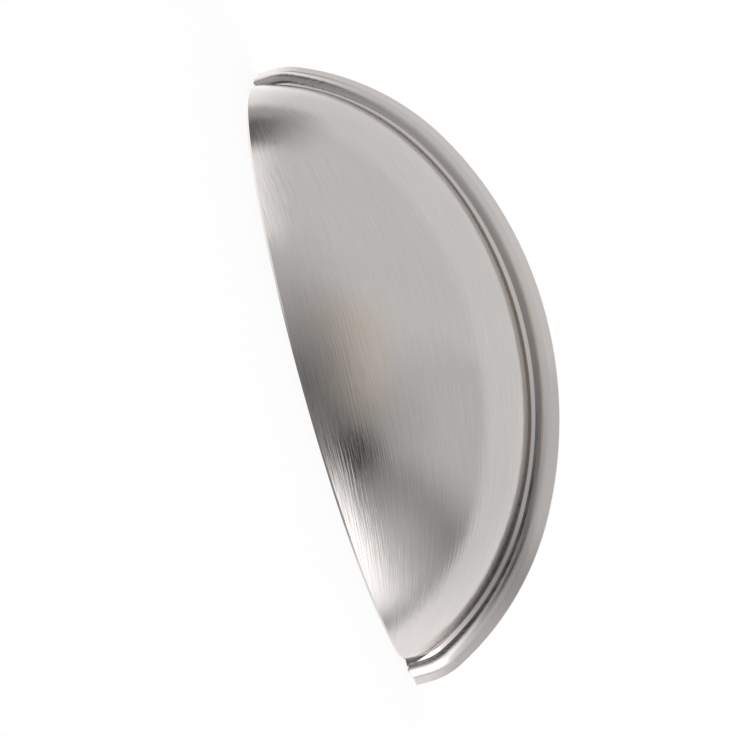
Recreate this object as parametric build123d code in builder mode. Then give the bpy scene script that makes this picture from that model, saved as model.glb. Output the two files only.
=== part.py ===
from build123d import *

import os
from math import cos, radians, sin, sqrt, tan

# Half-moon cup pull for a drawer front: one zinc casting with a beaded rim, a domed hood and
# two tapped bosses inside, for screws that come through the drawer front from behind.
# Sizes are in millimetres. The origin lies on the back face, midway between the screws.

# Screw positions, and how far the casting reaches past them.
hole_spacing = 64.0
end_margin = 15.85
screw_rise = 12.5
top_margin = 20.1

# Front outline: a three-centred arch that springs from below the opening edge, where it is
# wider than the casting, whose two ends turn upright.
arch_drop = 11.5
arch_overrun = 3.2
flank_sweep = 61.6
rim_corner_radius = 10.5

# Rim section, from the outer edge inward and from the back face forward.
foot_height = 0.5
bevel_width = 1.0
bevel_rise = 1.1
bead_outer_width = 1.35
bead_rise = 2.4
bead_inner_width = 0.7
bead_drop = 0.6
ledge_width = 0.65
bead_end_chamfer = 0.25

# Hood.
projection = 26.0
dome_centre = 0.8
dome_drop = 6.0
dome_overrun = 1.65
wall = 1.8
crease_radius = 4.0
lip_chamfer = 0.35

# Bosses, drilled for M4 threads.
boss_diameter = 9.0
tap_drill_diameter = 3.3
drill_tip_angle = 118.0
drill_floor = 3.4
mouth_chamfer = 0.4

# The front outline's own sizes follow from where the screws are.
rim_length = hole_spacing + 2 * end_margin
rim_rise = screw_rise + top_margin
opening_z = -screw_rise

# The arch: the flanks' centres lie on the springing line, and the crown's arc, which carries on
# from both flanks, reaches the arch's rise at the middle.
springing_z = opening_z - arch_drop
half_span = rim_length / 2 + arch_overrun
arch_rise = rim_rise + arch_drop
crown_share = (1 - sin(radians(flank_sweep))) / cos(radians(flank_sweep))
flank_radius = (arch_rise - crown_share * half_span) / (1 - crown_share)
flank_x = half_span - flank_radius
crown_radius = flank_radius + flank_x / cos(radians(flank_sweep))
crown_z = springing_z + arch_rise - crown_radius

# The rim section's corners: the bevel's top edge, the crown of the bead and the ledge.
bevel_top = (bevel_width, foot_height + bevel_rise)
crown = (bevel_top[0] + bead_outer_width, bevel_top[1] + bead_rise)
ledge_edge = (crown[0] + bead_inner_width, crown[1] - bead_drop)
rim_width = ledge_edge[0] + ledge_width
ledge_height = ledge_edge[1]

# The hood is part of an ellipsoid that is centred below the opening edge. Its ellipse on the
# ledge is set in by the rim's width, and it reaches the projection at the middle of the lip.
dome_z = opening_z - dome_drop
foot_half_width = rim_length / 2 + dome_overrun - rim_width
foot_half_height = rim_rise + dome_drop - rim_width
dome_foot = ledge_height - dome_centre
dome_reach = projection - dome_centre
drop_share = (dome_drop / foot_half_height) ** 2
dome_depth = sqrt((dome_reach**2 - drop_share * dome_foot**2) / (1 - drop_share))
foot_share = sqrt(1 - (dome_foot / dome_depth) ** 2)
dome_half_width = foot_half_width / foot_share
dome_half_height = foot_half_height / foot_share

# The drilled depth leaves the floor's thickness under the hood, over the drill's outer side.
drill_side = (hole_spacing + tap_drill_diameter) / 2 / dome_half_width
drill_level = dome_z / dome_half_height
hood_over_drill = dome_centre + dome_depth * sqrt(1 - drill_side**2 - drill_level**2)
tap_drill_depth = hood_over_drill - drill_floor
drill_tip = tap_drill_diameter / 2 / tan(radians(drill_tip_angle / 2))


def front_outline(inset, corner_radius, dressing=0.0):
    """The arch, set in, cut level at the opening edge and upright at its two ends."""
    half_length = rim_length / 2 - dressing - inset
    crown_sweep = 180 - 2 * flank_sweep
    left_start = 180 - flank_sweep
    with BuildSketch(Plane.XZ) as outline:
        with BuildLine():
            right = CenterArc((flank_x, springing_z), flank_radius - inset, 0, flank_sweep)
            CenterArc((0, crown_z), crown_radius - inset, flank_sweep, crown_sweep)
            left = CenterArc(
                (-flank_x, springing_z), flank_radius - inset, left_start, flank_sweep
            )
            Line(left @ 1, right @ 0)
        make_face()
        with Locations((0, opening_z)):
            level = (Align.CENTER, Align.MIN)
            Rectangle(2 * half_length, rim_rise, align=level, mode=Mode.INTERSECT)
        shoulders = outline.vertices().group_by(Axis.Y)[1]
        fillet(shoulders, radius=corner_radius)
    return outline.sketch


def ellipsoid(inset):
    """The hood's ellipsoid, with each of its half-axes made shorter by the inset."""
    ball = Sphere(1, mode=Mode.PRIVATE)
    half_axes = (dome_half_width - inset, dome_depth - inset, dome_half_height - inset)
    return Pos(0, -dome_centre, dome_z) * scale(ball, by=half_axes, mode=Mode.PRIVATE)


# Rim: one section swept round the curved edge. It runs in under the hood's wall, so the two
# are one casting.
rim_outline = front_outline(0, rim_corner_radius)
rim_path = Wire(rim_outline.edges().sort_by(Axis.Z)[1:])
rim_start = Plane(origin=rim_path @ 0, x_dir=(-1, 0, 0), z_dir=rim_path % 0)
under_hood = rim_width + wall / 2

with BuildPart() as rim:
    with BuildSketch(rim_start):
        with BuildLine():
            Polyline((0, 0), (0, foot_height), bevel_top)
            Spline(bevel_top, crown, ledge_edge, tangents=((0.4, 1), (0.45, -1)))
            Polyline(ledge_edge, (under_hood, ledge_height), (under_hood, 0), (0, 0))
        make_face()
    sweep(path=rim_path)
    end_faces = rim.faces().filter_by(Axis.Z).group_by(Axis.Z)[0]
    end_edges = end_faces.edges().filter_by(Axis.X, reverse=True)
    chamfer(end_edges.filter_by(Axis.Y, reverse=True), length=bead_end_chamfer)

# Hood, solid: the ellipsoid in front of the back face, cut level at the opening edge and
# upright at its two ends, where the crease is blended.
with BuildPart() as hood:
    end_radius = rim_corner_radius - rim_width
    extrude(
        front_outline(rim_width - wall / 2, end_radius, dressing=wall / 2),
        amount=projection + wall,
    )
    add(ellipsoid(0), mode=Mode.INTERSECT)
    dressed_ends = hood.faces().filter_by(Axis.X)
    fillet(dressed_ends.edges().filter_by(GeomType.BSPLINE), radius=crease_radius)
    opening_face = hood.faces().sort_by(Axis.Z)[0]
    chamfer(opening_face.edges().sort_by(Axis.Y)[:-1], length=lip_chamfer)

# Hollow for the fingers, one wall inside the hood and open at the back and at the lip.
with BuildPart() as hollow:
    extrude(
        front_outline(rim_width + wall / 2, end_radius - wall, dressing=wall / 2),
        amount=projection,
    )
    add(ellipsoid(wall), mode=Mode.INTERSECT)

# Bosses, from the back face into the middle of the hood's wall.
with BuildPart() as bosses:
    with BuildSketch(Plane.XZ):
        with GridLocations(hole_spacing, 0, 2, 1):
            Circle(boss_diameter / 2)
    extrude(amount=projection)
    add(ellipsoid(wall / 2), mode=Mode.INTERSECT)

# What the drill and the countersink take out of a boss.
with BuildPart() as drilling:
    with BuildSketch(Plane.XY):
        drill_radius = tap_drill_diameter / 2
        with BuildLine():
            Polyline(
                (0, 0),
                (drill_radius + mouth_chamfer, 0),
                (drill_radius, -mouth_chamfer),
                (drill_radius, -tap_drill_depth),
                (0, -tap_drill_depth - drill_tip),
                close=True,
            )
        make_face()
    revolve(axis=Axis.Y)

# The casting.
with BuildPart() as cup_pull:
    add(rim.part)
    add(hood.part)
    add(hollow.part, mode=Mode.SUBTRACT)
    lip_edges = cup_pull.faces().sort_by(Axis.Z)[0].edges().sort_by(Axis.Y)
    chamfer(lip_edges[1], length=lip_chamfer)
    add(bosses.part)
    with GridLocations(hole_spacing, 0, 2, 1):
        add(drilling.part, mode=Mode.SUBTRACT)

cup_pull.part.label = "cup_pull"
os.makedirs("parts", exist_ok=True)
export_step(cup_pull.part, "parts/cup_pull.step")
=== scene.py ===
from math import degrees, radians

import bpy
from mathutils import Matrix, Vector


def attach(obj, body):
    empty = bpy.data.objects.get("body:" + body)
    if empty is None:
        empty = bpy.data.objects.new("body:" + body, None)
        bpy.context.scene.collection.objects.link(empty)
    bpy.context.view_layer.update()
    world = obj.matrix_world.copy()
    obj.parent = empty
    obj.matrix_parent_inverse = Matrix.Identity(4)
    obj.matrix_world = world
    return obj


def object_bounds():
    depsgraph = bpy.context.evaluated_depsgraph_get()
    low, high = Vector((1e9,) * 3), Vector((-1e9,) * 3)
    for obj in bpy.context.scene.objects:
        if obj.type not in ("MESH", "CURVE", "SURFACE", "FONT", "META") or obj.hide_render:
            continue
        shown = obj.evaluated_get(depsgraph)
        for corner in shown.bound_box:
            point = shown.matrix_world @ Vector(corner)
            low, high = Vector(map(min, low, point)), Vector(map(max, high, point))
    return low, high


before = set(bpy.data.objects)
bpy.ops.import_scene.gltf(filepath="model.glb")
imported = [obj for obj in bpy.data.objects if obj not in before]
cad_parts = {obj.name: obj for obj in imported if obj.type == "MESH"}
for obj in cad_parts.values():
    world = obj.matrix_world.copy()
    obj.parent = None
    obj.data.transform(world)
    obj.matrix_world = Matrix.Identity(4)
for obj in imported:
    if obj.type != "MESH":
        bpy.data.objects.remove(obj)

cad_low, cad_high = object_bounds()


# The casting: rim, hood and bosses in one piece of die-cast zinc, plated in satin nickel. The
# hood is brushed lengthwise before it is plated, the rim is buffed, and the hollow, the bosses
# and the back keep the finer grain of the die.
class Wire:
    """A shader's socket, with sums and products of sockets written as expressions."""

    def __init__(self, tree, socket=None):
        self.tree = tree
        self.socket = socket

    def node(self, kind, settings=None, sockets=None, output=0):
        """Adds a node, sets it, feeds its sockets with values or wires, and gives one output."""
        made = self.tree.nodes.new(kind)
        for name, value in (settings or {}).items():
            setattr(made, name, value)
        for name, value in (sockets or {}).items():
            if isinstance(value, Wire):
                self.tree.links.new(value.socket, made.inputs[name])
            else:
                made.inputs[name].default_value = value
        return Wire(self.tree, made.outputs[output])

    def maths(self, operation, *others):
        """The result of one Math node on this number and the others."""
        values = dict(enumerate((self, *others)))
        return self.node("ShaderNodeMath", {"operation": operation}, values)

    def __add__(self, other):
        return self.maths("ADD", other)

    def __sub__(self, other):
        return self.maths("SUBTRACT", other)

    def __mul__(self, other):
        return self.maths("MULTIPLY", other)

    def __truediv__(self, other):
        return self.maths("DIVIDE", other)

    def __pow__(self, other):
        return self.maths("POWER", other)

    def __neg__(self):
        return self.maths("MULTIPLY", -1.0)

    def __rsub__(self, other):
        return -self + other

    __radd__ = __add__
    __rmul__ = __mul__

    def step(self, start, end):
        """0 before start and 1 after end, with a soft step between them."""
        ends = {"Value": self, "From Min": start, "From Max": end}
        settings = {"interpolation_type": "SMOOTHSTEP"}
        return self.node("ShaderNodeMapRange", settings, ends)

    def window(self, start, end, soft):
        """1 between start and end, and 0 outside, with soft edges."""
        return self.step(start - soft, start + soft) * (1 - self.step(end - soft, end + soft))

    def axes(self):
        """The three numbers of a vector."""
        return [self.node("ShaderNodeSeparateXYZ", None, {"Vector": self}, axis) for axis in "XYZ"]

    def vector(self, x, y, z=0.0):
        """A vector of three numbers."""
        return self.node("ShaderNodeCombineXYZ", None, {"X": x, "Y": y, "Z": z})

    def noise(self, place, scale, detail, settings=None):
        """A noise of about 0.5, read at a place."""
        sockets = {"Vector": place, "Scale": scale, "Detail": detail}
        return self.node("ShaderNodeTexNoise", settings, sockets)

    def mix(self, other, share, kind="RGBA"):
        """This colour or vector, changed to the other by a share."""
        first, output = (6, 2) if kind == "RGBA" else (4, 1)
        sockets = {0: share, first: self, first + 1: other}
        return self.node("ShaderNodeMix", {"data_type": kind}, sockets, output)


def surface(name):
    """A new material, a wire that adds nodes to it, and its shader."""
    made = bpy.data.materials.new(name)
    made.use_nodes = True
    return made, Wire(made.node_tree), made.node_tree.nodes["Principled BSDF"]


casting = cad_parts["cup_pull"]
satin_nickel, nickel, shader = surface("satin_nickel")
place = nickel.node("ShaderNodeTexCoord", output="Object")
millimetres = nickel.node(
    "ShaderNodeVectorMath", {"operation": "SCALE"}, {"Vector": place, "Scale": 1000.0}
)
x, y, z = millimetres.axes()

# The hood's outer skin lies on an ellipsoid, in front of the rim's ledge. The level is 1 on the
# ellipsoid, and less on the hollow's side.
hood_half_axes = (46.04, 25.58, 35.08)
hood_centre_y, hood_centre_z = -0.8, -18.5
ledge_front = -3.4
depth = y - hood_centre_y
rise = z - hood_centre_z
level = (
    (x / hood_half_axes[0]) ** 2.0
    + (depth / hood_half_axes[1]) ** 2.0
    + (rise / hood_half_axes[2]) ** 2.0
)
outer_skin = level.step(0.955, 0.975) * (1 - y.step(ledge_front - 0.3, ledge_front))

# The brush goes from end to end of the hood, along lines that meet at the ellipsoid's ends. The
# noises have few waves a millimetre along those lines, and many across them.
brushed_radius = 30.0
round_hood = rise.maths("ARCTAN2", -depth)
grain = round_hood * brushed_radius
flat = {"noise_dimensions": "2D"}
streaks = nickel.noise(nickel.vector(x * 0.11, grain * 3.6), 1.0, 3.0, flat)
scratches = nickel.noise(nickel.vector(x * 0.3, grain * 9.0), 1.0, 1.0, flat)
brushing = (streaks * 0.6 + scratches * 0.4 - 0.5) * outer_skin
clouds = nickel.noise(millimetres, 0.09, 3.0)
die_grain = nickel.noise(millimetres, 2.6, 3.0)
inside = 1 - outer_skin

# The rim is buffed by hand, which softens its bead: the polish is rounder than the casting's
# steep little ridge. The rim's edge is made of arcs round the centres of the flank, the crown
# and the corner on each side, and they give the distance in from that edge.
flank_x, flank_z, flank_radius = 9.31, -24.0, 41.74
crown_x, crown_z, crown_radius = 0.0, -41.21, 61.31
corner_x, corner_z, corner_radius = 37.35, -10.23, 10.5
crown_starts, corner_ends = 61.6, 26.2
side = x.maths("ABSOLUTE")
turn = (z - flank_z).maths("ARCTAN2", side - flank_x) * degrees(1)
on_crown = turn.maths("GREATER_THAN", crown_starts)
on_corner = turn.maths("LESS_THAN", corner_ends)
out_x = side - flank_x + on_crown * (flank_x - crown_x) - on_corner * (corner_x - flank_x)
out_z = z - flank_z + on_crown * (flank_z - crown_z) - on_corner * (corner_z - flank_z)

# Below the corner's centre the edge is upright, so only the distance sideways counts there.
far = 1000.0
out_z = out_z.maths("MAXIMUM", (on_corner - 1) * far)
arc = (out_x * out_x + out_z * out_z) ** 0.5
to_crown = crown_radius - flank_radius
to_corner = flank_radius - corner_radius
edge_in = on_crown * to_crown - on_corner * to_corner + flank_radius - arc

# The bead begins at the bevel's top, where it leans out the most, and reaches in to the ledge.
bead_start, bead_end, ledge_end = 1.0, 3.0, 3.7
bead_lean, bead_fall, ledge_lean = 42.0, 1.7, 24.0
above_ends = z.step(-12.3, -12.2)
in_front_of_back = 1 - y.step(-1.5, -1.3)
bead = edge_in.step(bead_start - 0.02, bead_start + 0.02)
bead = bead * (1 - edge_in.step(ledge_end - 0.04, ledge_end))
bead = bead * level.step(1.0, 1.003) * above_ends * in_front_of_back
outwards = nickel.node("ShaderNodeMapRange", None, {
    "Value": edge_in,
    "From Min": bead_start,
    "From Max": bead_end,
    "To Min": 1.0,
    "To Max": 0.0,
})
on_ledge = edge_in.step(bead_end, bead_end + 0.15)
tilt = (outwards ** bead_fall * bead_lean + on_ledge * ledge_lean) * radians(1)
lean = tilt.maths("SINE") / arc
polished = nickel.vector(
    x.maths("SIGN") * out_x * lean, -tilt.maths("COSINE"), out_z * lean
)
cast = nickel.node("ShaderNodeTexCoord", output="Normal")
facing = cast.mix(polished, bead, "VECTOR")

# The heights that the brush and the die leave are in millimetres.
brush_height = 0.015
die_height = 0.0012
millimetre = 0.001
height = brushing * brush_height + die_grain * inside * die_height
bump = nickel.node("ShaderNodeBump", None, {
    "Strength": 1.0,
    "Distance": millimetre,
    "Height": height,
    "Normal": facing,
})
light_nickel = (0.72, 0.692, 0.675, 1.0)
dark_nickel = (0.61, 0.587, 0.574, 1.0)
satin_roughness = 0.11
tone = (clouds - 0.5) * 0.4 + brushing * 1.3
colour = nickel.node("ShaderNodeRGB")
colour.socket.default_value = dark_nickel
colour = colour.mix(light_nickel, tone + 0.5)
roughness = brushing * 0.15 + (clouds - 0.5) * 0.05 + inside * 0.03 + satin_roughness
for name, wire in (("Base Color", colour), ("Roughness", roughness), ("Normal", bump)):
    nickel.tree.links.new(wire.socket, shader.inputs[name])
shader.inputs["Metallic"].default_value = 1.0
casting.data.materials.clear()
casting.data.materials.append(satin_nickel)


# The threads in the two bosses: M4, cut by a tap after plating, so they are bare bright zinc.
# They start under the countersink and run out above the bottom of the drilled hole.
half_spacing = 0.032
drilled_radius = 0.00165
countersink = 0.0006
pitch = 0.0007
turns = 10
steps_a_turn = 28
ridge_height = 0.00014
ridge_width = pitch * 0.86
crest_share = 0.2
dull_zinc = (0.58, 0.59, 0.61, 1.0)
bright_zinc = (0.70, 0.71, 0.73, 1.0)
bare_zinc, zinc, shader = surface("bare_zinc")
place = zinc.node("ShaderNodeTexCoord", output="Object")
tool_marks = zinc.noise(place, 9000.0, 3.0)
colour = zinc.node("ShaderNodeRGB")
colour.socket.default_value = dull_zinc
colour = colour.mix(bright_zinc, tool_marks)
marks = zinc.node(
    "ShaderNodeBump", None, {"Strength": 0.4, "Distance": 0.00002, "Height": tool_marks}
)
roughness = tool_marks * 0.15 + 0.22
for name, wire in (("Base Color", colour), ("Roughness", roughness), ("Normal", marks)):
    zinc.tree.links.new(wire.socket, shader.inputs[name])
shader.inputs["Metallic"].default_value = 1.0

# The ridge's section stands across the drilled hole's wall, a little past it both ways.
section_depth = ridge_height * 1.3
section_centre = drilled_radius + ridge_height * 0.15
bpy.ops.object.select_all(action="DESELECT")
bpy.ops.mesh.primitive_plane_add(size=ridge_width, location=(drilled_radius, 0, 0))
thread = bpy.context.object
bpy.ops.object.mode_set(mode="EDIT")
bpy.ops.transform.rotate(
    value=radians(90), orient_axis="X", center_override=(drilled_radius, 0, 0)
)
bpy.ops.transform.resize(
    value=(section_depth / ridge_width, 1, 1), center_override=(section_centre, 0, 0)
)

# Its inner side is narrowed to a crest, and its outline is wound into a helix and closed.
bpy.ops.mesh.select_mode(type="VERT")
bpy.ops.mesh.select_all(action="DESELECT")
bpy.ops.object.mode_set(mode="OBJECT")
inner = min(vertex.co.x for vertex in thread.data.vertices)
for vertex in thread.data.vertices:
    vertex.select = vertex.co.x < inner + 0.1 * ridge_height
bpy.ops.object.mode_set(mode="EDIT")
bpy.ops.transform.resize(
    value=(1, 1, crest_share), center_override=(drilled_radius, 0, 0)
)
bpy.ops.mesh.select_all(action="SELECT")
bpy.ops.mesh.delete(type="ONLY_FACE")
bpy.ops.object.mode_set(mode="OBJECT")
helix = thread.modifiers.new("helix", "SCREW")
helix.axis = "Z"
helix.angle = radians(360)
helix.screw_offset = pitch
helix.iterations = turns
helix.steps = steps_a_turn
helix.render_steps = steps_a_turn
helix.use_merge_vertices = False
bpy.ops.object.transform_apply(location=True, rotation=True, scale=True)
bpy.ops.object.modifier_apply(modifier="helix")
bpy.ops.object.mode_set(mode="EDIT")
bpy.ops.mesh.select_all(action="SELECT")
bpy.ops.mesh.remove_doubles(threshold=0.0000005)
bpy.ops.mesh.select_all(action="DESELECT")
bpy.ops.mesh.select_non_manifold()
bpy.ops.mesh.fill()
bpy.ops.mesh.select_all(action="SELECT")
bpy.ops.mesh.normals_make_consistent(inside=False)
bpy.ops.object.mode_set(mode="OBJECT")
bpy.ops.object.shade_smooth_by_angle(angle=radians(35))
thread.data.materials.clear()
thread.data.materials.append(bare_zinc)
thread.rotation_euler = (radians(90), 0, 0)
for name, side in (("thread_left", -1), ("thread_right", 1)):
    cut = thread.copy()
    cut.data = thread.data.copy()
    cut.name = name
    cut.location = (side * half_spacing, -countersink, 0)
    bpy.context.collection.objects.link(cut)
    bpy.ops.object.select_all(action="DESELECT")
    cut.select_set(True)
    bpy.context.view_layer.objects.active = cut
    bpy.ops.object.transform_apply(location=True, rotation=True, scale=True)
    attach(cut, "root")
bpy.data.objects.remove(thread)


# The table that the pull stands on, on its opening edge: pale, plain and matt. It shows nearly
# white to the camera, keeps the pull's shadow, and isn't seen in the metal.
gap = 0.00002
shown_white = 1.08
shown_share = 0.8
bpy.ops.object.select_all(action="DESELECT")
bpy.ops.mesh.primitive_plane_add(size=8.0, location=(0, 0, cad_low.z - gap))
table = bpy.context.object
table.name = "table"
table.visible_glossy = False
pale, paint, shader = surface("pale_table")
shader.inputs["Base Color"].default_value = (0.9, 0.9, 0.9, 1.0)
shader.inputs["Roughness"].default_value = 0.9
white = paint.node("ShaderNodeEmission", None, {"Strength": shown_white})
seen = paint.node("ShaderNodeLightPath", output="Is Camera Ray")
matt = Wire(paint.tree, shader.outputs[0])
shown = paint.node("ShaderNodeMixShader", None, {0: seen * shown_share, 1: matt, 2: white})
paint.tree.links.new(shown.socket, paint.tree.nodes["Material Output"].inputs["Surface"])
table.data.materials.append(pale)


# The studio: a pale room all round, with white and dark panels in front of the pull and behind
# it, which shape the reflections in the metal. Directions are in degrees: azimuth goes round
# from straight in front, plus to the right, and elevation goes up.
world = bpy.data.worlds.new("studio")
bpy.context.scene.world = world
world.use_nodes = True
room = Wire(world.node_tree)
towards = room.node("ShaderNodeTexCoord", output="Generated")
across, inward, upward = towards.axes()
azimuth = across.maths("ARCTAN2", -inward) * degrees(1)
elevation = upward.maths("ARCSINE") * degrees(1)

# A panel's strength is added to the room's. It has two ends and a softness sideways, the same
# upwards, and a slope by which it rises to the right.
room_level = 0.64
left_level = 0.09
back_level = 0.17
panels_in_front = (
    (-0.60, (-101.0, -72.0, 2.0), (-51.0, -14.0, 14.0), -0.33),
    (0.66, (-71.0, -38.0, 4.0), (-16.0, 4.3, 6.0), 0.0),
    (-0.45, (-42.0, -25.0, 5.0), (-9.0, -1.5, 1.5), 0.0),
    (-0.22, (-8.0, 14.0, 2.0), (-9.0, -1.0, 1.5), 0.0),
    (-0.45, (-24.7, 35.0, 22.5), (-55.0, 19.9, 14.6), -0.06),
    (0.14, (14.8, 79.3, 1.6), (-58.0, 5.6, 1.4), 0.17),
    (0.36, (18.8, 96.9, 7.7), (-60.0, 29.0, 16.6), 0.06),
    (1.18, (15.9, 57.3, 20.9), (-51.0, 5.1, 4.8), 0.08),
    (-0.50, (73.3, 99.7, 5.7), (-50.0, 20.1, 16.1), -0.02),
)
panels_behind = (
    (-0.36, (-101.0, -85.0, 1.5), (-60.0, 19.0, 8.0), 0.0),
    (0.30, (81.6, 195.0, 1.4), (-81.0, 21.6, 25.0), 0.06),
    (0.50, (-200.0, -103.9, 5.3), (-73.9, -5.2, 11.4), -0.05),
)
in_front = (1 - azimuth.step(-25, 5)) * left_level
for strength, sideways, upwards, slope in panels_in_front:
    leaning = elevation - azimuth * slope
    in_front = in_front + azimuth.window(*sideways) * leaning.window(*upwards) * strength
at_back = back_level
for strength, sideways, upwards, slope in panels_behind:
    leaning = elevation - azimuth * slope
    at_back = azimuth.window(*sideways) * leaning.window(*upwards) * strength + at_back

# Two dark cards in front are cut as fans about the line straight out from the pull: they have
# two ends and a softness round that line, counted from the right, and the same away from it.
cards_in_front = (
    (-0.33, (27.0, 61.0, 11.0), (20.0, 97.0, 6.0), -0.09),
    (-0.19, (19.0, 69.2, 16.6), (18.0, 46.7, 15.2), 0.32),
)
sector = upward.maths("ARCTAN2", across) * degrees(1)
spread = (-inward).maths("ARCCOSINE") * degrees(1)
for strength, around, away, slope in cards_in_front:
    turned = sector - spread * slope
    in_front = in_front + turned.window(*around) * spread.window(*away) * strength

# The room is dark straight below. The camera itself sees it white all round.
floor_shade = 0.55
darkest = 0.04
behind = inward.step(-0.03, 0.03)
light = in_front * (1 - behind) + at_back * behind + room_level
light = light - (1 - elevation.step(-78, -68)) * floor_shade
seen = room.node("ShaderNodeLightPath", output="Is Camera Ray")
light = light.maths("MAXIMUM", darkest) * (1 - seen) + seen
background = world.node_tree.nodes["Background"]
world.node_tree.links.new(light.socket, background.inputs["Strength"])

# A patch of it in front, above the pull, is warmer.
room_tint = (1.0, 0.99, 0.985, 1.0)
warm_tint = (1.0, 0.93, 0.85, 1.0)
no_tint = (1.0, 1.0, 1.0, 1.0)
warmth = azimuth.window(-22, 9, 5) * elevation.window(14, 38, 6)
tint = room.node("ShaderNodeRGB")
tint.socket.default_value = room_tint
tint = tint.mix(warm_tint, warmth)
tint = tint.mix(no_tint, seen)
world.node_tree.links.new(tint.socket, background.inputs["Color"])


# The camera: a long lens, a little above the pull and to its right, held on its side.
camera = bpy.data.objects.new("camera", bpy.data.cameras.new("camera"))
bpy.context.collection.objects.link(camera)
camera.location = (0.0613078, -0.2884096, 0.0430601)
camera.rotation_euler = (radians(59.563676), radians(-70.519601), radians(40.775733))
camera.data.lens = 98.623
camera.data.sensor_width = 36.0
camera.data.clip_start = 0.01
bpy.context.scene.camera = camera
bpy.context.scene.view_settings.view_transform = "Standard"
